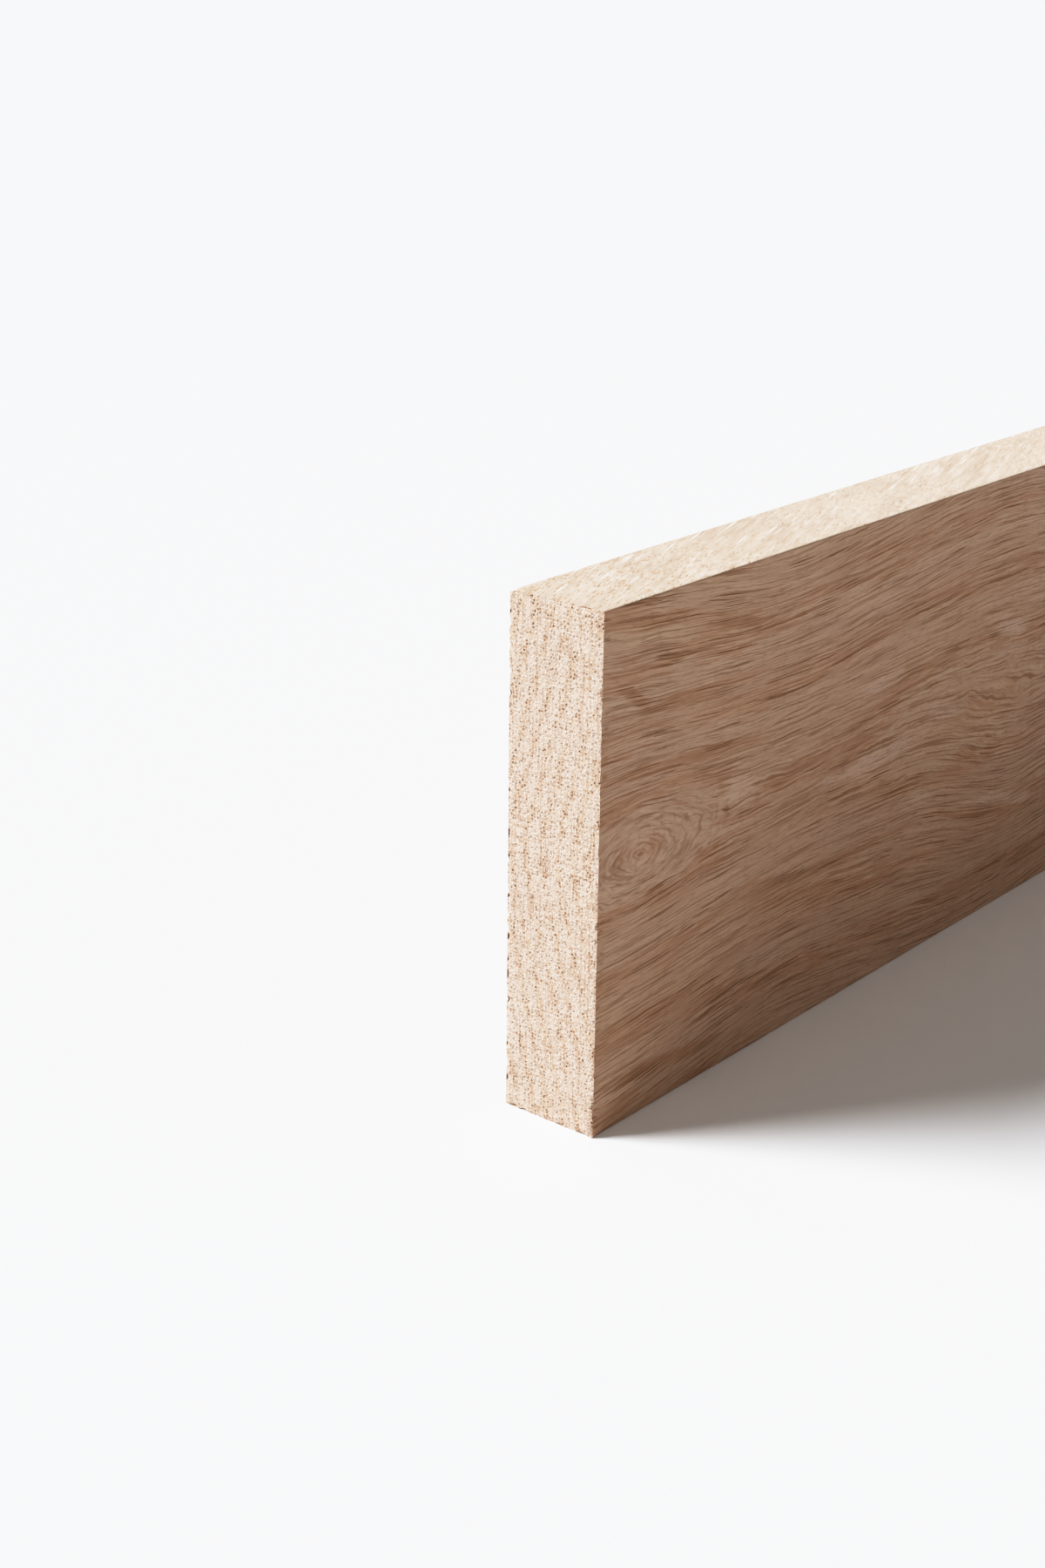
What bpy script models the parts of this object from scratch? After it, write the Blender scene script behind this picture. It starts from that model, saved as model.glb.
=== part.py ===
"""Oak wood batten: one straight planed length of oak that stands on its narrow long edge.

Metres, +Z up. +X runs along the grain, away from the sawn end that shows. +Y runs through
the thickness, so the wide front face looks along -Y. The origin is the middle of the long
edge that the batten rests on.
"""
import math
import random

import bmesh
import bpy
from mathutils import Matrix

# Driving dimensions
LENGTH = 0.600
WIDTH = 0.096
THICKNESS = 0.020

# The planed long corners are eased by hand, and the sawn ends stay sharp
ARRIS = 0.0004
ARRIS_STEPS = 2

# Chips that the saw tore out of the rims of both ends, each a shallow cone along the grain
CHIP_SEED = 11
CHIP_SIDES = 6
CHIP_RADIUS = (0.0003, 0.0006)
CHIP_LENGTH = (0.0015, 0.0040)
CHIP_PITCH = 0.0045
CHIP_OVERSHOOT = 0.0005
CORNER_MARGIN = 0.0030

# Finish of pale unfinished oak
OAK_COLOUR = (0.60, 0.43, 0.28, 1.0)
OAK_ROUGHNESS = 0.62


def clear_scene():
    """Remove the objects that the file opened with."""
    for item in list(bpy.data.objects):
        bpy.data.objects.remove(item, do_unlink=True)


def new_collection(name):
    """Add a collection to the scene."""
    collection = bpy.data.collections.new(name)
    bpy.context.scene.collection.children.link(collection)
    return collection


def oak_material():
    """Plain oak: pale, matt and not metallic."""
    material = bpy.data.materials.new("Oak")
    material.use_nodes = True
    shader = material.node_tree.nodes["Principled BSDF"]
    shader.inputs["Base Color"].default_value = OAK_COLOUR
    shader.inputs["Roughness"].default_value = OAK_ROUGHNESS
    shader.inputs["Metallic"].default_value = 0.0
    return material


def mark_long_corners(mesh):
    """Give the edges that run along the grain a bevel weight, and no others."""
    grid = bmesh.new()
    grid.from_mesh(mesh)
    weight = grid.edges.layers.float.new("bevel_weight_edge")
    for edge in grid.edges:
        run = edge.verts[1].co - edge.verts[0].co
        if abs(run.x) > 0.5 * LENGTH:
            edge[weight] = 1.0
    grid.to_mesh(mesh)
    grid.free()


def make_board(collection):
    """The board: a box on its long edge, with the four long corners eased."""
    mesh = bpy.data.meshes.new("batten")
    grid = bmesh.new()
    bmesh.ops.create_cube(grid, size=1.0)
    bmesh.ops.scale(grid, vec=(LENGTH, THICKNESS, WIDTH), verts=grid.verts)
    bmesh.ops.translate(grid, vec=(0.0, 0.0, 0.5 * WIDTH), verts=grid.verts)
    grid.to_mesh(mesh)
    grid.free()
    mark_long_corners(mesh)

    board = bpy.data.objects.new("batten", mesh)
    collection.objects.link(board)
    bevel = board.modifiers.new("eased corners", "BEVEL")
    bevel.limit_method = "WEIGHT"
    bevel.width = ARRIS
    bevel.segments = ARRIS_STEPS
    return board


def rim_points(start, end, draw):
    """Places of the chips along one rim, one in each pitch, at a random spot inside it."""
    run = math.dist(start, end)
    count = int(run / CHIP_PITCH)
    for index in range(count):
        share = (index + draw.uniform(0.2, 0.8)) / count
        yield tuple(a + share * (b - a) for a, b in zip(start, end))


def end_rims():
    """The rims that the saw left last, as (y, z) end points: below, behind and in front."""
    half = 0.5 * THICKNESS
    below = ((-half + CORNER_MARGIN, 0.0), (half - CORNER_MARGIN, 0.0))
    behind = ((half, CORNER_MARGIN), (half, WIDTH - CORNER_MARGIN))
    in_front = ((-half, CORNER_MARGIN), (-half, 0.5 * WIDTH))
    return below, behind, in_front


def add_chip(grid, side, place, draw):
    """One chip's cutter: a cone on the rim that narrows along the grain, into the board."""
    length = draw.uniform(*CHIP_LENGTH)
    radius = draw.uniform(*CHIP_RADIUS)
    depth = length + CHIP_OVERSHOOT
    centre_x = side * (0.5 * LENGTH + CHIP_OVERSHOOT - 0.5 * depth)
    lay_down = Matrix.Rotation(-side * math.radians(90.0), 4, "Y")
    spin = Matrix.Rotation(draw.uniform(0.0, math.pi), 4, "Z")
    bmesh.ops.create_cone(
        grid,
        cap_ends=True,
        segments=CHIP_SIDES,
        radius1=radius,
        radius2=0.0,
        depth=depth,
        matrix=Matrix.Translation((centre_x, *place)) @ lay_down @ spin,
    )


def make_chips(collection):
    """All the chips' cutters in one object that is never built itself."""
    draw = random.Random(CHIP_SEED)
    mesh = bpy.data.meshes.new("chip_cutters")
    grid = bmesh.new()
    for side in (-1, 1):
        for start, end in end_rims():
            for place in rim_points(start, end, draw):
                add_chip(grid, side, place, draw)
    grid.to_mesh(mesh)
    grid.free()

    cutters = bpy.data.objects.new("chip_cutters", mesh)
    cutters.hide_render = True
    cutters.display_type = "WIRE"
    collection.objects.link(cutters)
    return cutters


def main():
    clear_scene()
    batten_parts = new_collection("Oak_wood_batten")
    cutter_parts = new_collection("Cutters")

    board = make_board(batten_parts)
    chips = make_chips(cutter_parts)
    tear_out = board.modifiers.new("torn rims", "BOOLEAN")
    tear_out.operation = "DIFFERENCE"
    tear_out.solver = "EXACT"
    tear_out.object = chips
    board.data.materials.append(oak_material())


main()
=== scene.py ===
"""Looks of the oak wood batten: a dense board mesh with real relief, and procedural oak."""
import math
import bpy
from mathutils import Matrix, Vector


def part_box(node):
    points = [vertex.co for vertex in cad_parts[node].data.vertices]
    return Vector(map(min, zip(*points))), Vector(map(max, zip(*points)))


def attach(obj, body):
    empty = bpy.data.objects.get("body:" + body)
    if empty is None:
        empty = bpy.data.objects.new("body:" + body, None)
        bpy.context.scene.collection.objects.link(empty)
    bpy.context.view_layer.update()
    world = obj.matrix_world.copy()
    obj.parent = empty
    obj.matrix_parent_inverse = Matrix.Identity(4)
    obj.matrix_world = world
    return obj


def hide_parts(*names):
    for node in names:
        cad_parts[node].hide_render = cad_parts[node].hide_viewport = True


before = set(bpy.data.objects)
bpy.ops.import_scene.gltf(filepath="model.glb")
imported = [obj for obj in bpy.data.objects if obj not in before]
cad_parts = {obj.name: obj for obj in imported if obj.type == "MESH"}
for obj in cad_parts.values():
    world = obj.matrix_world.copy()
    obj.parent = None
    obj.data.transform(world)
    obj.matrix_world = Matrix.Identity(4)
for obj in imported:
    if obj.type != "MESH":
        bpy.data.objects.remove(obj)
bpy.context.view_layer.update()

from types import SimpleNamespace

import bpy
import numpy as np
from mathutils import Quaternion, Vector

BOARD_LOW, BOARD_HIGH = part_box("batten")
LENGTH, THICKNESS, WIDTH = BOARD_HIGH - BOARD_LOW
MM = 0.001

# Camera, from the near bottom corner of the front face
CAMERA_OFFSET = Vector((-0.28633, -0.22269, 0.20006))
CAMERA_HEADING = math.radians(39.90)
CAMERA_DIP = math.radians(20.26)
CAMERA_ROLL = math.radians(0.586)
CAMERA_RANGE = (0.01, 100.0)
LENS = 53.56
SENSOR = 36.0

# Light: a wide cool window behind on the left, and a warm dim room in front
KEY_FROM = Vector((-0.4792, 0.5711, 0.6665))
KEY_SPREAD = math.radians(25.0)
KEY_STRENGTH = 5.2
KEY_COLOUR = (0.98, 1.0, 1.035)
ROOM_COLOUR = (1.04, 1.0, 0.955)
ROOM_FRONT = 0.62
ROOM_BACK = 0.20
ROOM_TURN = 0.25
HORIZON = 1.35
HORIZON_FADE = (0.04, 0.14)

# Floor
FLOOR_COLOUR = (0.87, 0.88, 0.895)
FLOOR_SIZE = 30.0
FLOOR_ROUGHNESS = 0.9
FLOOR_GLOSS = 0.1

# Film response: scene light against shown light
FILM_WHITE = 2.0
FILM = (
    (0.0, 0.0),
    (0.1, 0.02),
    (0.2, 0.065),
    (0.3, 0.135),
    (0.4, 0.225),
    (0.5, 0.33),
    (0.65, 0.49),
    (0.8, 0.645),
    (1.0, 0.80),
    (1.25, 0.92),
    (1.6, 0.98),
    (2.0, 1.0),
)

# Board mesh, in millimetres
ARRIS = 0.4
ARRIS_STATIONS = 4
CELL_ACROSS = 0.47
CELL_ALONG = 4.8
END_STATIONS = (0.0, 0.2, 0.45)
END_START = 0.9
END_ZONE = 7.0
END_CELL = 0.6
SHARP_FROM = math.radians(50.0)

# Numbers that scramble a cell's place and the seed into one random value
NOISE_START = 1000.0
NOISE_PRIMES = (73856093, 19349663, 83492791)
NOISE_MIXERS = (2654435761, 2246822519, 3266489917)
NOISE_WORD = 0xFFFFFFFF

# Noise of the relief: its cell along, into and up the board, in millimetres, and its seed
PLANER_NOISE = ((30.0, 30.0, 30.0), 20)
RIPPLE_NOISE = ((11.0, 1.0, 1.0), 21)
SAW_NOISE = ((5.0, 6.0, 6.0), 22)
ROUGH_NOISE = ((1.0, 0.6, 0.55), 23)
TORN_NOISE = ((3.0, 1.1, 1.1), 24)
REACH_NOISE = ((8.0, 1.5, 1.5), 25)
CHIP_NOISE = ((60.0, 0.95, 0.95), 26)

# Relief of the planed sides, in millimetres. The planer's wave is 2 pi times its number long,
# and a drift is how far noise moves a wave, in radians
RIPPLE_DEPTH = 0.03
PLANER_DEPTH = 0.012
PLANER_WAVE = 1.9
PLANER_DRIFT = 0.8

# Relief of the sawn ends, in millimetres: the saw's rows, and the rims that it tore. A gain is
# the factor and the shift that noise gets before it is eased
SAWN_DEPTH = 0.02
SAW_DEPTH = 0.04
SAW_PITCH = 0.86
SAW_DRIFT = 1.5
ROUGH_DEPTH = 0.08
RIM_REACH = 0.9
RIM_DEPTH = 0.08
TORN_DEPTH = 0.45
TORN_GAIN = (2.2, -0.7)

# Chips along the long corners, in millimetres: how deep, and the least and the further reach
# from the ends. All tearing is worst at the back and below a height
CHIP_DEPTH = 0.34
CHIP_REACH = (0.8, 2.0)
CHIP_GAIN = (2.4, -1.1)
TEAR_LEAST = 0.35
TEAR_HEIGHT = 20.0

# Flat layout of the skin for baking, in millimetres
STRIPS = 3
STRIP_GAP = 4.0

# Growth rings, in millimetres from the near sawn end, the front face and the resting edge
RING_DEPTH = 3.5
HEART_HEIGHT = 48.5
HEART_BLUNT = 1.27
RING_PHASE = 0.25
RING_SPREAD = 10.8

# Slow rise and fall of the grain along the board
SWAY = 1.9
SWAY_LENGTH = 150.0
SWAY_START = 56.0

# How far the fibres follow the rings and the board's own height
FOLLOW_RINGS = 4.3
FOLLOW_BOARD = 0.6

# Fibres that run down towards the resting edge: how far, over which length, and between
# which heights they start and stop
DIP = 7.5
DIP_ALONG = (98.0, 150.0)
DIP_BELOW = (2.0, 24.0)
DIP_ABOVE = (32.0, 70.0)

# Wobbles: the cell of the noise, in millimetres, and how far it goes either way
RING_WOBBLES = (((60.0, 14.0, 14.0), 0.30), ((24.0, 5.0, 5.0), 0.16))
FIBRE_WOBBLES = (((40.0, 9.0, 9.0), 1.3), ((9.0, 5.0, 4.0), 0.30))
EYE_WOBBLE_ALONG = ((9.0, 6.0, 2.5), 1.4)
EYE_WOBBLE_UP = ((6.0, 6.0, 2.6), 1.1)
OVAL_WOBBLE = ((3.4, 6.0, 1.4), 0.42)
EYE_EDGE_WOBBLE = ((7.0, 1.0, 1.2), 2.5)
JAG_WOBBLE = ((9.0, 0.9, 0.55), 0.50)

# Eyes where the rings lift: place along, height, half length and half height of the first
# ring, and how clear the ovals are
EYES = (
    (11.5, 50.4, 33.0, 11.0, 1.0),
    (129.0, 49.0, 58.0, 14.0, 0.12),
    (262.0, 54.0, 40.0, 10.0, 0.9),
    (395.0, 45.0, 62.0, 13.0, 0.4),
    (520.0, 51.0, 46.0, 12.0, 0.7),
)

# The ovals of an eye: how flat, how much flatter further out, how far they bend the fibres,
# how far a faint eye stays hidden, and how softly the rings lift
EYE_SQUASH = 1.9
EYE_DRAWN_OUT = 0.035
EYE_BEND = 6.5
EYE_HIDING = 14.0
EYE_SOFT = 0.25

# Reddish bands and pale patches near the shown end of the front face: place along, height,
# half length, half height, and fall along the board
BANDS = (
    (13.0, 91.6, 16.0, 1.3, -0.11),
    (42.0, 85.0, 14.0, 1.5, -0.25),
    (8.0, 80.0, 7.0, 1.4, -0.70),
    (28.0, 75.5, 17.0, 1.5, -0.03),
    (24.0, 64.3, 26.0, 1.3, -0.08),
    (60.0, 52.0, 13.0, 2.4, 0.0),
    (83.0, 85.5, 15.0, 1.1, 0.0),
    (112.0, 76.0, 8.0, 1.3, 0.0),
    (144.0, 77.0, 7.0, 1.2, 0.0),
    (75.0, 30.0, 23.0, 1.2, -0.04),
    (128.0, 24.5, 19.0, 1.2, -0.25),
    (16.0, 19.0, 15.0, 1.2, -0.02),
    (18.0, 7.5, 16.0, 1.5, -0.06),
)
PATCHES = (
    (41.5, 54.0, 5.0, 5.0, 0.0),
    (88.0, 63.5, 7.0, 1.8, 0.05),
    (86.0, 47.3, 19.0, 1.6, 0.02),
    (113.0, 51.0, 6.0, 1.4, -0.20),
    (139.0, 63.0, 7.0, 1.8, -0.15),
    (104.0, 34.0, 6.0, 1.8, 0.0),
    (140.0, 24.5, 15.0, 1.5, -0.24),
)

# How deep those marks go, how ragged they are, and where their soft edge starts and ends
MARK_DEPTH = 5.0
MARK_JAG = 2.2
MARK_EDGE = (0.55, 1.35)

# How fast the marks of the narrow edges slant across them
EDGE_SLANT = 0.34

# Cells of the wood's patterns, in millimetres: along the fibres, into the wood, across them
LINE_CELL = (24.0, 1.1, 0.33)
FINE_CELL = (2.4, 0.5, 0.22)
LARGE_PORE_CELL = (20.0, 0.60, 0.40)
SMALL_PORE_CELL = (8.0, 0.42, 0.38)
TONE_CELL = (26.0, 3.0, 2.2)
FLECK_CELL = (11.0, 0.9, 30.0)
SPECK_CELL = (1.9, 0.52, 30.0)
BLOTCH_CELL = (20.0, 5.0, 40.0)
TORN_CELL = (3.0, 1.2, 0.70)

# Cells of the broad tones and of the stronger and weaker rings: along, into and up the board
BROAD_CELL = (70.0, 12.0, 14.0)
SEASON_CELL = (34.0, 8.0, 5.0)

# Cells of the ovals: along the board, up it, and outwards from the eye
OVAL_CELL = (6.0, 4.0, 0.42)

# Cells of the sawn ends' patterns: into the end, across it, and up
END_PORE_CELL = (50.0, 0.72, 0.66)
FUZZ_CELL = (20.0, 0.42, 0.42)
ROW_CELL = (20.0, 0.62, 9.0)
RAY_CELL = (20.0, 5.0, 0.42)
PIT_CELL = (0.6, 0.30, 0.30)

# Shifts that keep one pattern off another
OVAL_SHIFT = (3.0, 0.0, 2.3)
SMALL_PORE_SHIFT = (3.0, 1.0, 2.0)
FLECK_SHIFT = (1.0, 3.0, 0.0)
SPECK_SHIFT = (5.0, 2.0, 0.0)

# Pores, as shares of their cells: radius, growth in earlywood, range, and half the soft edge
LARGE_PORE_SIZE = 0.14
LARGE_PORE_EARLY = 0.12
LARGE_PORE_RANGE = (0.5, 1.3)
LARGE_PORE_EDGE = 0.08
SMALL_PORE_SIZE = 0.30
SMALL_PORE_EDGE = 0.10

# How far the sawn ends' pores stray from even rows, from 0 to 1
END_PORE_STRAY = 0.62

# Ramps: where a field starts and ends, and, unless they are 0 and 1, what it gives there
SIDE_EDGE = (0.55, 0.80)
EARLY_START = (0.0, 0.05)
EARLY_END = (0.15, 0.55, 1.0, 0.0)
EARLY_PATCHY = (0.30, 0.55, 0.15, 1.0)
LATE_START = (0.55, 0.95)
EYE_REACH = (6.5, 11.0, 1.0, 0.0)
SMALL_PORE_CHANCE = (0.3, 1.0)
FLECK_EDGE = (0.15, 0.42, 1.0, 0.0)
FLECK_CHANCE = (0.50, 0.62)
FLECK_DEPTH = (2.0, 16.0, 0.25, 1.0)
SPECK_EDGE = (0.20, 0.50, 1.0, 0.0)
SPECK_CHANCE = (0.28, 0.70)
SPECK_FADE = (15.0, 70.0, 1.0, 0.35)
END_PORE_EDGE = (0.24, 0.49, 1.0, 0.0)
END_PORE_CHANCE = (0.0, 0.55, 0.25, 1.0)
END_PORE_EARLY = (0.0, 1.0, 0.62, 1.0)
TORN_EDGE = (0.56, 0.66)
TORN_REACH = (0.5, 3.0, 1.0, 0.0)

# Ramps that give a colour's share
PINK_RAMP = (0.3, 0.7)
ALONG_RAMP = (15.0, 75.0, 0.0, 0.08)
DULL_RAMP = (0.25, 0.50, 0.12, 0.0)
BRIGHT_RAMP = (0.52, 0.75, 0.0, 0.18)
DARK_LINE_RAMP = (0.34, 0.49, 1.0, 0.0)
PALE_LINE_RAMP = (0.50, 0.68, 0.0, 0.60)
FINE_RAMP = (0.30, 0.50, 0.36, 0.0)
EYE_HEART_RAMP = (0.0, 1.2, 0.22, 0.0)
# Share of the narrow edges' painted highlight, varied in blotches
PAINTED_LIT_EDGE_RAMP = (0.30, 0.65, 0.54, 0.70)
EDGE_DARK_RAMP = (0.28, 0.46, 0.14, 0.0)
EDGE_PALE_RAMP = (0.52, 0.68, 0.0, 0.28)
ROW_RAMP = (0.30, 0.50, 0.42, 0.0)
RAY_RAMP = (0.28, 0.50, 0.34, 0.0)
FUZZ_DARK_RAMP = (0.25, 0.50, 0.36, 0.0)
FUZZ_PALE_RAMP = (0.50, 0.72, 0.0, 0.50)

# Shares of a colour where its mark is full
LATE_SHARE = 0.40
EARLY_SHARE = 0.54
BAND_SHARE = 0.20
PATCH_SHARE = 0.62
LINE_SHARES = (0.80, 0.88)
EYE_LINE_LOSS = 0.42
LARGE_PORE_SHARE = 0.50
SMALL_PORE_SHARE = 0.34
TORN_SHARE = 0.60
SPECK_SHARE = 0.85
FLECK_SHARE = 0.95
SAWN_EARLY_SHARE = 0.45

# Heights of the bump, in millimetres
LARGE_PORE_HEIGHT = -0.08
SMALL_PORE_HEIGHT = -0.03
LINE_HEIGHT = 0.06
FUZZ_HEIGHT = 0.20
PIT_HEIGHT = 0.15
END_PORE_HEIGHT = -0.12

# Roughness of the planed wood, and of pores and sawn wood
ROUGHNESS = (0.55, 0.78)
OAK_GLOSS = 0.3

# Oak, as the light it gives back
TAN = (0.529, 0.389, 0.295)
PINK = (0.524, 0.391, 0.312)
EARLYWOOD = (0.463, 0.285, 0.186)
LATEWOOD = (0.548, 0.421, 0.331)
DARK_FIBRE = (0.354, 0.230, 0.149)
PALE_FIBRE = (0.614, 0.477, 0.373)
SILVER = (0.585, 0.455, 0.380)
PORE = (0.330, 0.195, 0.105)
END_PORE = (0.190, 0.115, 0.070)
# Painted highlight: the narrow edges' pale tone stands in for the window light on the top edge
PAINTED_LIT_EDGE = (0.885, 0.775, 0.668)
FLECK = (0.88, 0.83, 0.77)
# Painted highlight: the sawn ends' base is paler than the wood, as a directly lit end looks
PAINTED_LIT_SAWN = (0.725, 0.598, 0.508)
RUST = (0.590, 0.390, 0.250)


def clamp01(values):
    return np.clip(values, 0.0, 1.0)


def smooth_step(values):
    values = clamp01(values)
    return values * values * (3.0 - 2.0 * values)


def random_of(cell, seed):
    """One random value from -1 to 1 for each row of whole numbers."""
    mixed = cell[:, 0] * NOISE_PRIMES[0] ^ cell[:, 1] * NOISE_PRIMES[1] ^ cell[:, 2] * NOISE_PRIMES[2]
    mixed = (mixed ^ seed * NOISE_MIXERS[0]) & NOISE_WORD
    mixed = (mixed ^ (mixed >> 15)) * NOISE_MIXERS[1] & NOISE_WORD
    mixed = (mixed ^ (mixed >> 13)) * NOISE_MIXERS[2] & NOISE_WORD
    return (mixed ^ (mixed >> 16)) / NOISE_WORD * 2.0 - 1.0


def value_noise(points, cell, seed):
    """Smooth noise from -1 to 1 on an (n, 3) array, with one random value per cell."""
    scaled = points / np.asarray(cell, float) + NOISE_START
    base = np.floor(scaled).astype(np.int64)
    part = smooth_step(scaled - base)
    total = np.zeros(len(points))
    for corner in np.ndindex(2, 2, 2):
        weight = np.where(corner, part, 1 - part)
        total += random_of(base + corner, seed) * (weight[:, 0] * weight[:, 1] * weight[:, 2])
    return total


def share_noise(points, cell, seed):
    """The same noise from 0 to 1."""
    return 0.5 + 0.5 * value_noise(points, cell, seed)


def stations(size, arris, cell):
    """Places across the board: close together in the eased corners, even in between."""
    edge = np.linspace(0.0, arris, ARRIS_STATIONS)
    count = max(2, round((size - 2 * arris) / cell))
    middle = np.linspace(arris, size - arris, count + 1)
    return np.concatenate([edge[:-1], middle, size - edge[-2::-1]])


def stations_along(length):
    """Places along the board: close together at the sawn ends, where the rims are torn."""
    near = np.concatenate([END_STATIONS, np.arange(END_START, END_ZONE, END_CELL)])
    count = round((length - 2 * near[-1]) / CELL_ALONG)
    middle = np.linspace(near[-1], length - near[-1], count + 1)
    return np.concatenate([near, middle[1:-1], length - near[::-1]])


def sheet(ids, flip):
    """Quads over a grid of vertex numbers."""
    quads = np.stack([ids[:-1, :-1], ids[1:, :-1], ids[1:, 1:], ids[:-1, 1:]], -1).reshape(-1, 4)
    return quads[:, ::-1] if flip else quads


def shell_of(xs, ys, zs):
    """The closed skin of a box lattice: its points, its quads, facing out, and each quad's side.

    Sides 0 and 1 are the sawn ends, 2 and 3 the wide faces, and 4 and 5 the narrow edges.
    """
    shape = (len(xs), len(ys), len(zs))
    skin = np.zeros(shape, bool)
    skin[[0, -1]] = True
    skin[:, [0, -1]] = True
    skin[:, :, [0, -1]] = True
    ids = np.full(shape, -1)
    ids[skin] = np.arange(skin.sum())
    grid = np.stack(np.meshgrid(xs, ys, zs, indexing="ij"), -1)
    sheets = (
        sheet(ids[0], True),
        sheet(ids[-1], False),
        sheet(ids[:, 0], False),
        sheet(ids[:, -1], True),
        sheet(ids[:, :, 0], True),
        sheet(ids[:, :, -1], False),
    )
    sides = np.repeat(np.arange(len(sheets)), [len(quads) for quads in sheets])
    return grid[skin], np.concatenate(sheets), sides


def round_corners(points, thickness, width):
    """Pull the four long corners in to a quarter round."""
    for axis_y in (0.0, thickness):
        for axis_z in (0.0, width):
            centre_y = abs(axis_y - ARRIS)
            centre_z = abs(axis_z - ARRIS)
            off = np.stack([points[:, 1] - centre_y, points[:, 2] - centre_z], 1)
            out_y = 1.0 if axis_y > 0 else -1.0
            out_z = 1.0 if axis_z > 0 else -1.0
            inside = (off[:, 0] * out_y > 0) & (off[:, 1] * out_z > 0)
            length = np.maximum(np.hypot(*off.T), 1e-9)
            scale = np.where(inside, np.abs(off).max(1) / length, 1.0)
            points[:, 1] = np.where(inside, centre_y + off[:, 0] * scale, points[:, 1])
            points[:, 2] = np.where(inside, centre_z + off[:, 1] * scale, points[:, 2])


def press_in(points, lattice, size, axes, depth, reach=0.0):
    """Move the points within reach of both sides of each axis inwards by depth."""
    for axis in axes:
        value = lattice[:, axis]
        high = np.where(value >= size[axis] - reach, -1.0, 0.0)
        points[:, axis] += np.where(value <= reach, 1.0, high) * depth


def planed_relief(lattice):
    """Depth of the planed sides: a fine ripple, and the planer's long waves."""
    ripple = share_noise(lattice, *RIPPLE_NOISE)
    drift = PLANER_DRIFT * value_noise(lattice, *PLANER_NOISE)
    wave = 0.5 + 0.5 * np.sin(lattice[:, 0] / PLANER_WAVE + drift)
    return RIPPLE_DEPTH * ripple + PLANER_DEPTH * wave


def tearing(lattice, size):
    """How much the saw tore each place: most at the bottom and at the back."""
    rear = clamp01(lattice[:, 1] / size[1])
    lower = 1.0 - clamp01(lattice[:, 2] / TEAR_HEIGHT)
    return TEAR_LEAST + (1.0 - TEAR_LEAST) * np.maximum(rear, lower)


def sawn_relief(lattice, size):
    """Depth of the sawn ends: the saw's rows, rough fibre, and torn rims."""
    y, z = lattice[:, 1], lattice[:, 2]
    drift = SAW_DRIFT * value_noise(lattice, *SAW_NOISE)
    saw = 0.5 + 0.5 * np.sin(2.0 * np.pi * z / SAW_PITCH + drift)
    rough = share_noise(lattice, *ROUGH_NOISE)
    from_rim = np.minimum(np.minimum(y, size[1] - y), np.minimum(z, size[2] - z))
    rim = 1.0 - smooth_step(from_rim / RIM_REACH)
    torn = smooth_step(value_noise(lattice, *TORN_NOISE) * TORN_GAIN[0] + TORN_GAIN[1])
    rim_depth = RIM_DEPTH + TORN_DEPTH * torn * tearing(lattice, size)
    return SAWN_DEPTH + SAW_DEPTH * saw + ROUGH_DEPTH * rough + rim * rim_depth


def chip_relief(lattice, size):
    """Depth of the chips along the long corners, which fade out away from the ends."""
    x = lattice[:, 0]
    from_end = np.minimum(x, size[0] - x)
    reach = CHIP_REACH[0] + CHIP_REACH[1] * share_noise(lattice, *REACH_NOISE)
    fade = clamp01(1.0 - from_end / reach)
    chip = smooth_step(value_noise(lattice, *CHIP_NOISE) * CHIP_GAIN[0] + CHIP_GAIN[1]) * fade
    return CHIP_DEPTH * chip * tearing(lattice, size)


def add_relief(points, lattice, size):
    """Push the skin in: planer ripple, sawn and torn ends, and chipped corners."""
    press_in(points, lattice, size, (1, 2), planed_relief(lattice))
    press_in(points, lattice, size, (0,), sawn_relief(lattice, size))
    press_in(points, lattice, size, (1, 2), chip_relief(lattice, size), ARRIS)


def add_bake_map(mesh, corners, sides, size):
    """Lay the skin out flat for baking, all at one scale, with the long sides cut in strips."""
    length, thickness, width = size
    strip = length / STRIPS
    part = np.minimum(corners[:, :, 0].mean(1) // strip, STRIPS - 1)
    is_end = sides < 2
    is_wide = (sides == 2) | (sides == 3)
    wide_rows = STRIPS * (width + STRIP_GAP)
    narrow_rows = STRIPS * (thickness + STRIP_GAP)
    low = np.where(is_wide, part * (width + STRIP_GAP), wide_rows + part * (thickness + STRIP_GAP))
    low = np.where(is_end, wide_rows + narrow_rows, low) + 0.5 * STRIP_GAP
    left = (sides % 2) * (strip + 2.0 * STRIP_GAP) + STRIP_GAP
    along = corners[:, :, 0] - (part * strip)[:, None]
    flat = np.empty((len(sides), 4, 2))
    flat[:, :, 0] = left[:, None] + np.where(is_end[:, None], corners[:, :, 2], along)
    flat[:, :, 1] = low[:, None] + np.where(is_wide[:, None], corners[:, :, 2], corners[:, :, 1])
    flat /= 2.0 * (strip + 2.0 * STRIP_GAP)
    layer = mesh.uv_layers.new(name="OFBake")
    layer.uv.foreach_set("vector", flat.astype(np.float32).ravel())


def board_mesh():
    """The board's skin in metres, which keeps each point's place before the relief."""
    size = np.array([LENGTH, THICKNESS, WIDTH]) / MM
    xs = stations_along(size[0])
    ys = stations(size[1], ARRIS, CELL_ACROSS)
    zs = stations(size[2], ARRIS, CELL_ACROSS)
    lattice, faces, sides = shell_of(xs, ys, zs)
    points = lattice.copy()
    round_corners(points, size[1], size[2])
    add_relief(points, lattice, size)

    mesh = bpy.data.meshes.new("oak_batten")
    mesh.from_pydata((points * MM + np.array(BOARD_LOW)).tolist(), [], faces.tolist())
    place = mesh.attributes.new("place", "FLOAT_VECTOR", "POINT")
    place.data.foreach_set("vector", lattice.astype(np.float32).ravel())
    add_bake_map(mesh, lattice[faces], sides, size)
    mesh.shade_smooth()
    mesh.set_sharp_from_angle(angle=SHARP_FROM)
    mesh.update()
    return mesh


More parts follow.
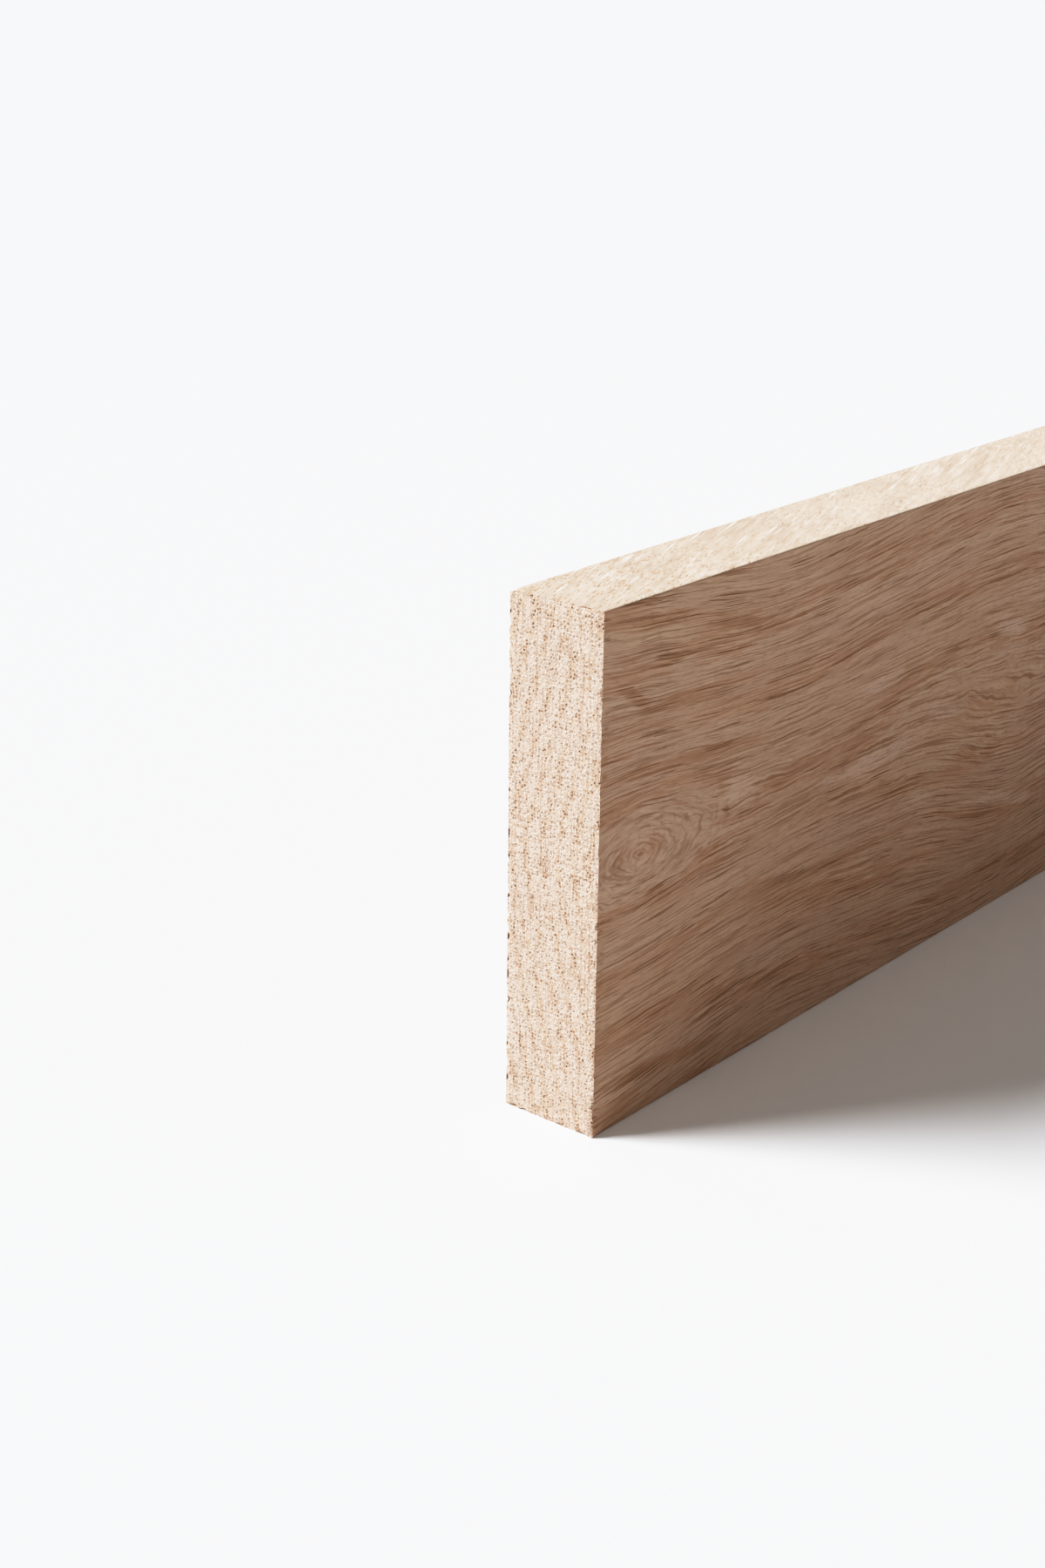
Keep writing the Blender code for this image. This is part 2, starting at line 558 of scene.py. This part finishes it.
def node(tree, kind, inputs=None, **settings):
    """Add a node, and set or link its inputs."""
    made = tree.nodes.new(kind)
    for name, value in settings.items():
        setattr(made, name, value)
    for key, value in (inputs or {}).items():
        if isinstance(value, bpy.types.NodeSocket):
            tree.links.new(value, made.inputs[key])
        else:
            made.inputs[key].default_value = value
    return made


def calc(tree, operation, *values):
    """A Math node's result."""
    return node(tree, "ShaderNodeMath", dict(enumerate(values)), operation=operation).outputs[0]


def times(tree, *values):
    """Product of values."""
    total = values[0]
    for value in values[1:]:
        total = calc(tree, "MULTIPLY", total, value)
    return total


def plus(tree, *values):
    """Sum of values."""
    total = values[0]
    for value in values[1:]:
        total = calc(tree, "ADD", total, value)
    return total


def rest_of(tree, value):
    """What value leaves of 1."""
    return calc(tree, "SUBTRACT", 1.0, value)


def larger(tree, first, second):
    """The larger of two values."""
    return calc(tree, "MAXIMUM", first, second)


def ramp(tree, value, low, high, start=0.0, end=1.0):
    """value from low to high, eased, as start to end."""
    made = node(
        tree,
        "ShaderNodeMapRange",
        {"Value": value, "From Min": low, "From Max": high, "To Min": start, "To Max": end},
        interpolation_type="SMOOTHSTEP",
    )
    return made.outputs["Result"]


def mix(tree, share, first, second):
    """Two colours mixed: second by its share, first by the rest."""
    made = node(tree, "ShaderNodeMix", data_type="RGBA")
    for key, value in ((0, share), (6, first), (7, second)):
        if isinstance(value, bpy.types.NodeSocket):
            tree.links.new(value, made.inputs[key])
        else:
            made.inputs[key].default_value = (*value, 1.0)
    return made.outputs[2]


def layered(tree, colour, layers):
    """A colour with others laid over it in turn, each a share and a colour."""
    for share, over in layers:
        colour = mix(tree, share, colour, over)
    return colour


def stretched(tree, vector, cell, offset=(0.0, 0.0, 0.0)):
    """A vector in millimetres, shifted, in cells of the given size."""
    made = node(tree, "ShaderNodeMapping", {"Vector": vector, "Location": offset})
    scale = node(
        tree,
        "ShaderNodeVectorMath",
        {0: made.outputs[0], 1: tuple(1.0 / size for size in cell)},
        operation="MULTIPLY",
    )
    return scale.outputs[0]


def noise(tree, vector, cell, detail=2.0, rough=0.5, **where):
    """Noise from 0 to 1 with cells of the given size."""
    vector = stretched(tree, vector, cell, **where)
    inputs = {"Vector": vector, "Scale": 1.0, "Detail": detail, "Roughness": rough}
    return node(tree, "ShaderNodeTexNoise", inputs).outputs[0]


def cells(tree, vector, cell, randomness=1.0, **where):
    """Distance to the nearest cell centre, and that cell's own random number."""
    vector = stretched(tree, vector, cell, **where)
    inputs = {"Vector": vector, "Scale": 1.0, "Randomness": randomness}
    made = node(tree, "ShaderNodeTexVoronoi", inputs)
    split = node(tree, "ShaderNodeSeparateColor", {0: made.outputs["Color"]})
    return made.outputs["Distance"], split.outputs[0]


def wobble(tree, place, cell, size, **where):
    """Noise from -size to size."""
    made = noise(tree, place, cell, **where)
    return calc(tree, "MULTIPLY_ADD", made, 2.0 * size, -size)


def ellipse(tree, off_x, off_z, reach, rise):
    """Squared distance from a centre, which is 1 at the half length and the half height."""
    far_x = calc(tree, "MULTIPLY", off_x, 1.0 / reach)
    far_z = calc(tree, "MULTIPLY", off_z, 1.0 / rise)
    return plus(tree, times(tree, far_x, far_x), times(tree, far_z, far_z))


def surface_fields(tree):
    """Each point's place in the wood, and how far it lies on an end or a narrow edge."""
    place = node(tree, "ShaderNodeAttribute", attribute_name="place").outputs["Vector"]
    x, y, z = node(tree, "ShaderNodeSeparateXYZ", {0: place}).outputs
    facing = node(tree, "ShaderNodeTexCoord").outputs["Normal"]
    facing = node(tree, "ShaderNodeSeparateXYZ", {0: facing}).outputs
    return SimpleNamespace(
        place=place,
        x=x,
        y=y,
        z=z,
        end_grain=ramp(tree, calc(tree, "ABSOLUTE", facing["X"]), *SIDE_EDGE),
        narrow=ramp(tree, calc(tree, "ABSOLUTE", facing["Z"]), *SIDE_EDGE),
        from_end=calc(tree, "PINGPONG", x, 0.5 * LENGTH / MM),
    )


def add_eyes(tree, wood):
    """Lift the rings and bend the fibres round each eye; also the distance from the nearest one."""
    shaken_x = plus(tree, wood.x, wobble(tree, wood.place, *EYE_WOBBLE_ALONG))
    shaken_z = plus(tree, wood.z, wobble(tree, wood.place, *EYE_WOBBLE_UP))
    wood.eye_far = None
    for eye_x, eye_z, reach, rise, clear in EYES:
        off_x = calc(tree, "SUBTRACT", shaken_x, eye_x)
        off_z = calc(tree, "SUBTRACT", shaken_z, eye_z)
        cone = calc(tree, "SQRT", ellipse(tree, off_x, off_z, reach, rise))
        wood.rings = calc(tree, "SMOOTH_MIN", wood.rings, cone, EYE_SOFT)
        squash = calc(tree, "MULTIPLY_ADD", calc(tree, "ABSOLUTE", off_x), EYE_DRAWN_OUT, EYE_SQUASH)
        oval_x = calc(tree, "DIVIDE", off_x, squash)
        oval = plus(tree, times(tree, oval_x, oval_x), times(tree, off_z, off_z))
        bend = calc(tree, "DIVIDE", clear * EYE_BEND**2, calc(tree, "ADD", oval, EYE_BEND**2))
        wood.across = calc(tree, "SUBTRACT", wood.across, times(tree, bend, off_z))
        far = calc(tree, "ADD", calc(tree, "SQRT", oval), EYE_HIDING * (1.0 - clear))
        wood.eye_far = far if wood.eye_far is None else calc(tree, "MINIMUM", wood.eye_far, far)


def add_grain(tree, wood):
    """Ring count, height across the fibres, and a vector that runs along the fibres."""
    turn = 2.0 * math.pi / SWAY_LENGTH
    sway = calc(tree, "COSINE", calc(tree, "MULTIPLY_ADD", wood.x, turn, -SWAY_START * turn))
    spread = calc(tree, "MULTIPLY_ADD", sway, -SWAY, RING_SPREAD)
    height = calc(tree, "SUBTRACT", wood.z, HEART_HEIGHT)
    steps = calc(tree, "DIVIDE", height, spread)
    wood.rings = calc(tree, "SQRT", calc(tree, "MULTIPLY_ADD", steps, steps, HEART_BLUNT**2))
    dip = times(
        tree,
        ramp(tree, wood.x, *DIP_ALONG, 0.0, DIP),
        ramp(tree, wood.z, *DIP_BELOW),
        ramp(tree, wood.z, *DIP_ABOVE, 1.0, 0.0),
    )
    wood.across = plus(tree, times(tree, steps, FOLLOW_RINGS), times(tree, height, FOLLOW_BOARD), dip)
    add_eyes(tree, wood)
    for cell, size in RING_WOBBLES:
        wood.rings = plus(tree, wood.rings, wobble(tree, wood.place, cell, size))
    wood.rings = calc(tree, "MULTIPLY_ADD", wood.y, 1.0 / RING_DEPTH, wood.rings)
    for cell, size in FIBRE_WOBBLES:
        wood.across = plus(tree, wood.across, wobble(tree, wood.place, cell, size))
    slant = times(tree, wood.x, wood.narrow)
    deep = calc(tree, "MULTIPLY_ADD", slant, -EDGE_SLANT, wood.y)
    wood.fibres = node(tree, "ShaderNodeCombineXYZ", {0: wood.x, 1: deep, 2: wood.across}).outputs[0]


def marks(tree, wood, spots):
    """Long soft patches along the fibres, with ragged edges: 1 inside, 0 outside."""
    nearest = None
    for spot_x, spot_z, reach, rise, fall in spots:
        off_x = calc(tree, "SUBTRACT", wood.x, spot_x)
        off_z = calc(tree, "SUBTRACT", wood.z, spot_z)
        off_z = calc(tree, "MULTIPLY_ADD", off_x, -fall, off_z)
        far = ellipse(tree, off_x, off_z, reach, rise)
        nearest = far if nearest is None else calc(tree, "MINIMUM", nearest, far)
    far = calc(tree, "MULTIPLY_ADD", wood.jag, MARK_JAG, calc(tree, "SQRT", nearest))
    front = ramp(tree, wood.y, 0.0, MARK_DEPTH, 1.0, 0.0)
    return times(tree, ramp(tree, far, *MARK_EDGE, 1.0, 0.0), front)


def add_seasons(tree, wood):
    """Earlywood and latewood of each ring, whose edges step along the fibres, and the marks."""
    wood.jag = wobble(tree, wood.fibres, *JAG_WOBBLE, detail=1.0)
    season = calc(tree, "FRACT", plus(tree, wood.rings, wood.jag, RING_PHASE))
    wood.late = ramp(tree, season, *LATE_START)
    early = times(tree, ramp(tree, season, *EARLY_START), ramp(tree, season, *EARLY_END))
    patchy = noise(tree, wood.place, SEASON_CELL)
    early = times(tree, early, ramp(tree, patchy, *EARLY_PATCHY))
    wood.bands = marks(tree, wood, BANDS)
    wood.patches = marks(tree, wood, PATCHES)
    wood.early = times(tree, larger(tree, early, wood.bands), rest_of(tree, wood.patches))


def add_lines(tree, wood):
    """Lines of pale and dark fibre, which close into ragged ovals round the eyes."""
    straight = noise(tree, wood.fibres, LINE_CELL, rough=0.55)
    ragged = plus(tree, wood.eye_far, wobble(tree, wood.place, *OVAL_WOBBLE, detail=1.0))
    turned = node(tree, "ShaderNodeCombineXYZ", {0: wood.x, 1: wood.z, 2: ragged}).outputs[0]
    ovals = noise(tree, turned, OVAL_CELL, detail=1.5, rough=0.6, offset=OVAL_SHIFT)
    edge = plus(tree, wood.eye_far, wobble(tree, wood.fibres, *EYE_EDGE_WOBBLE))
    wide = rest_of(tree, larger(tree, wood.end_grain, wood.narrow))
    wood.in_eye = times(tree, ramp(tree, edge, *EYE_REACH), wide)
    wood.streak = plus(
        tree,
        times(tree, straight, rest_of(tree, wood.in_eye)),
        times(tree, ovals, wood.in_eye),
    )
    wood.fine = noise(tree, wood.fibres, FINE_CELL, detail=1.0)


def pore(tree, far, size, edge):
    """1 inside a pore of the given size, 0 outside."""
    return ramp(tree, calc(tree, "SUBTRACT", far, size), -edge, edge, 1.0, 0.0)


def add_pores(tree, wood):
    """Open pores: long thin cells, wider in earlywood, and shorter thin ones between them."""
    far, chance = cells(tree, wood.fibres, LARGE_PORE_CELL)
    size = calc(tree, "MULTIPLY_ADD", wood.early, LARGE_PORE_EARLY, LARGE_PORE_SIZE)
    size = times(tree, size, ramp(tree, chance, 0.0, 1.0, *LARGE_PORE_RANGE))
    wood.large = pore(tree, far, size, LARGE_PORE_EDGE)
    far, chance = cells(tree, wood.fibres, SMALL_PORE_CELL, offset=SMALL_PORE_SHIFT)
    size = times(tree, ramp(tree, chance, *SMALL_PORE_CHANCE), SMALL_PORE_SIZE)
    wood.small = pore(tree, far, size, SMALL_PORE_EDGE)


def add_edge_marks(tree, wood):
    """Pale rays and short rusty specks, slanting across the narrow edges."""
    far, chance = cells(tree, wood.fibres, FLECK_CELL, offset=FLECK_SHIFT)
    fleck = times(tree, ramp(tree, far, *FLECK_EDGE), ramp(tree, chance, *FLECK_CHANCE), wood.narrow)
    wood.fleck = times(tree, fleck, ramp(tree, wood.y, *FLECK_DEPTH))
    far, chance = cells(tree, wood.fibres, SPECK_CELL, offset=SPECK_SHIFT)
    speck = times(tree, ramp(tree, far, *SPECK_EDGE), ramp(tree, chance, *SPECK_CHANCE), wood.narrow)
    wood.speck = times(tree, speck, ramp(tree, wood.from_end, *SPECK_FADE))


def add_end_marks(tree, wood):
    """On the sawn ends, pores in rows, crossed by thin rays, and fuzz; at their rims, torn fibre."""
    far, chance = cells(tree, wood.place, END_PORE_CELL, randomness=END_PORE_STRAY)
    dots = times(tree, ramp(tree, far, *END_PORE_EDGE), ramp(tree, chance, *END_PORE_CHANCE))
    wood.dots = times(tree, dots, ramp(tree, wood.early, *END_PORE_EARLY))
    wood.fuzz = noise(tree, wood.place, FUZZ_CELL, rough=0.6)
    torn = noise(tree, wood.fibres, TORN_CELL, detail=1.0)
    torn = times(tree, ramp(tree, torn, *TORN_EDGE), ramp(tree, wood.from_end, *TORN_REACH))
    wood.torn = times(tree, torn, rest_of(tree, wood.end_grain))


def planed_colour(tree, wood):
    """Colour of the planed sides: broad tones, rings, marks, lines, pores, and the narrow edges,
    whose pale tone is a painted highlight over blotchy grain.
    """
    broad = noise(tree, wood.place, BROAD_CELL)
    tone = noise(tree, wood.fibres, TONE_CELL, detail=3.0)
    blotch = noise(tree, wood.fibres, BLOTCH_CELL)
    lines = times(
        tree,
        ramp(tree, wood.streak, *DARK_LINE_RAMP),
        ramp(tree, wood.early, 0.0, 1.0, *LINE_SHARES),
        calc(tree, "MULTIPLY_ADD", wood.in_eye, -EYE_LINE_LOSS, 1.0),
    )
    pores = larger(
        tree,
        times(tree, wood.large, LARGE_PORE_SHARE),
        times(tree, wood.small, SMALL_PORE_SHARE),
    )
    base = mix(tree, ramp(tree, broad, *PINK_RAMP), TAN, PINK)
    return layered(tree, base, (
        (ramp(tree, wood.x, *ALONG_RAMP), DARK_FIBRE),
        (times(tree, wood.late, LATE_SHARE), LATEWOOD),
        (times(tree, wood.early, EARLY_SHARE), EARLYWOOD),
        (times(tree, wood.bands, BAND_SHARE), DARK_FIBRE),
        (times(tree, wood.patches, PATCH_SHARE), SILVER),
        (ramp(tree, tone, *DULL_RAMP), EARLYWOOD),
        (ramp(tree, tone, *BRIGHT_RAMP), PALE_FIBRE),
        (lines, DARK_FIBRE),
        (ramp(tree, wood.streak, *PALE_LINE_RAMP), PALE_FIBRE),
        (ramp(tree, wood.fine, *FINE_RAMP), DARK_FIBRE),
        (pores, PORE),
        (ramp(tree, wood.eye_far, *EYE_HEART_RAMP), PORE),
        (times(tree, wood.torn, TORN_SHARE), PORE),
        # Painted highlight: both narrow edges laid over with a pale tone, as the lit top edge looks
        (times(tree, wood.narrow, ramp(tree, blotch, *PAINTED_LIT_EDGE_RAMP)), PAINTED_LIT_EDGE),
        (times(tree, wood.narrow, ramp(tree, wood.streak, *EDGE_DARK_RAMP)), RUST),
        (times(tree, wood.narrow, ramp(tree, wood.streak, *EDGE_PALE_RAMP)), FLECK),
        (times(tree, wood.speck, SPECK_SHARE), RUST),
        (times(tree, wood.fleck, FLECK_SHARE), FLECK),
    ))


def sawn_colour(tree, wood):
    """Colour of the sawn ends: a pale base that is a painted highlight, then rings, rows and rays,
    fuzz, and pores.
    """
    rows = noise(tree, wood.place, ROW_CELL, detail=1.0)
    rays = noise(tree, wood.place, RAY_CELL, detail=1.0)
    # The pale base is painted light: the sawn end is coloured as if lit by the window
    base = mix(tree, times(tree, wood.early, SAWN_EARLY_SHARE), PAINTED_LIT_SAWN, RUST)
    return layered(tree, base, (
        (ramp(tree, rows, *ROW_RAMP), EARLYWOOD),
        (ramp(tree, rays, *RAY_RAMP), EARLYWOOD),
        (ramp(tree, wood.fuzz, *FUZZ_DARK_RAMP), EARLYWOOD),
        (ramp(tree, wood.fuzz, *FUZZ_PALE_RAMP), FLECK),
        (wood.dots, END_PORE),
    ))


def oak_height(tree, wood):
    """Height of the finest relief, in millimetres."""
    height = times(tree, wood.large, LARGE_PORE_HEIGHT)
    height = calc(tree, "MULTIPLY_ADD", wood.small, SMALL_PORE_HEIGHT, height)
    height = calc(tree, "MULTIPLY_ADD", wood.streak, LINE_HEIGHT, height)
    pitted = noise(tree, wood.place, PIT_CELL)
    sawn = plus(
        tree,
        times(tree, wood.fuzz, FUZZ_HEIGHT),
        times(tree, pitted, PIT_HEIGHT),
        times(tree, wood.dots, END_PORE_HEIGHT),
    )
    return plus(tree, height, times(tree, sawn, wood.end_grain))


def oak_material():
    """Oak: growth rings, open pores, rays and fine fibres, all inside the wood."""
    material = bpy.data.materials.new("planed_oak")
    material.use_nodes = True
    tree = material.node_tree
    shader = tree.nodes["Principled BSDF"]
    wood = surface_fields(tree)
    for add_fields in (add_grain, add_seasons, add_lines, add_pores, add_edge_marks, add_end_marks):
        add_fields(tree, wood)

    colour = mix(tree, wood.end_grain, planed_colour(tree, wood), sawn_colour(tree, wood))
    rough = ramp(tree, larger(tree, wood.large, wood.end_grain), 0.0, 1.0, *ROUGHNESS)
    height = oak_height(tree, wood)
    bump = node(tree, "ShaderNodeBump", {"Height": height, "Distance": MM, "Strength": 1.0})
    tree.links.new(colour, shader.inputs["Base Color"])
    tree.links.new(rough, shader.inputs["Roughness"])
    tree.links.new(bump.outputs[0], shader.inputs["Normal"])
    shader.inputs["Specular IOR Level"].default_value = OAK_GLOSS
    return material


def add_board():
    """The board, in place of its CAD node."""
    mesh = board_mesh()
    mesh.materials.append(oak_material())
    board = bpy.data.objects.new("oak_batten", mesh)
    bpy.context.scene.collection.objects.link(board)
    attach(board, "root")
    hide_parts("batten")


def add_floor():
    """A plain pale floor."""
    bpy.ops.mesh.primitive_plane_add(size=FLOOR_SIZE)
    floor = bpy.context.object
    floor.name = "floor"
    material = bpy.data.materials.new("pale_floor")
    material.use_nodes = True
    shader = material.node_tree.nodes["Principled BSDF"]
    shader.inputs["Base Color"].default_value = (*FLOOR_COLOUR, 1.0)
    shader.inputs["Roughness"].default_value = FLOOR_ROUGHNESS
    shader.inputs["Specular IOR Level"].default_value = FLOOR_GLOSS
    floor.data.materials.append(material)


def add_key():
    """The window's light."""
    lamp = bpy.data.lights.new("key", "SUN")
    lamp.energy = KEY_STRENGTH
    lamp.angle = KEY_SPREAD
    lamp.color = KEY_COLOUR
    key = bpy.data.objects.new("key", lamp)
    key.rotation_mode = "QUATERNION"
    key.rotation_quaternion = (-KEY_FROM).to_track_quat("-Z", "Y")
    bpy.context.scene.collection.objects.link(key)


def add_room():
    """The room's light: brighter from the front than from the window's side, and a pale horizon."""
    world = bpy.data.worlds.new("studio")
    bpy.context.scene.world = world
    world.use_nodes = True
    tree = world.node_tree
    look = node(tree, "ShaderNodeTexCoord").outputs["Generated"]
    level = (KEY_FROM * Vector((1.0, 1.0, 0.0))).normalized().to_tuple()
    heading = node(tree, "ShaderNodeVectorMath", {0: look, 1: level}, operation="DOT_PRODUCT")
    room = ramp(tree, heading.outputs["Value"], -ROOM_TURN, ROOM_TURN, ROOM_FRONT, ROOM_BACK)
    upward = node(tree, "ShaderNodeSeparateXYZ", {0: look}).outputs["Z"]
    low = ramp(tree, upward, *HORIZON_FADE, 1.0, 0.0)

    # The camera sees a plain pale backdrop past the floor's edge, at every height
    low = larger(tree, low, node(tree, "ShaderNodeLightPath").outputs["Is Camera Ray"])
    strength = plus(tree, times(tree, room, rest_of(tree, low)), times(tree, low, HORIZON))
    background = tree.nodes["Background"]
    tree.links.new(mix(tree, low, ROOM_COLOUR, KEY_COLOUR), background.inputs["Color"])
    tree.links.new(strength, background.inputs["Strength"])


def set_film():
    """Give the shown picture a soft toe and shoulder, as film has."""
    view = bpy.context.scene.view_settings
    view.view_transform = "Standard"
    view.use_curve_mapping = True
    film = view.curve_mapping
    film.white_level = (FILM_WHITE, FILM_WHITE, FILM_WHITE)
    curve = film.curves[3]
    curve.points[0].location = FILM[0]
    curve.points[1].location = (FILM[-1][0] / FILM_WHITE, FILM[-1][1])
    for light, shown in FILM[1:-1]:
        curve.points.new(light / FILM_WHITE, shown)
    for point in curve.points:
        point.handle_type = "AUTO_CLAMPED"
    film.update()


def add_camera():
    """The photograph's view."""
    lens = bpy.data.cameras.new("camera")
    lens.lens = LENS
    lens.sensor_width = SENSOR
    lens.clip_start, lens.clip_end = CAMERA_RANGE
    camera = bpy.data.objects.new("camera", lens)
    camera.location = Vector(BOARD_LOW) + CAMERA_OFFSET
    flat = math.cos(CAMERA_DIP)
    forward = Vector((
        math.cos(CAMERA_HEADING) * flat,
        math.sin(CAMERA_HEADING) * flat,
        -math.sin(CAMERA_DIP),
    ))
    roll = Quaternion((0, 0, 1), CAMERA_ROLL)
    camera.rotation_mode = "QUATERNION"
    camera.rotation_quaternion = forward.to_track_quat("-Z", "Y") @ roll
    bpy.context.scene.collection.objects.link(camera)
    bpy.context.scene.camera = camera


add_camera()
add_key()
add_room()
add_floor()
add_board()
set_film()
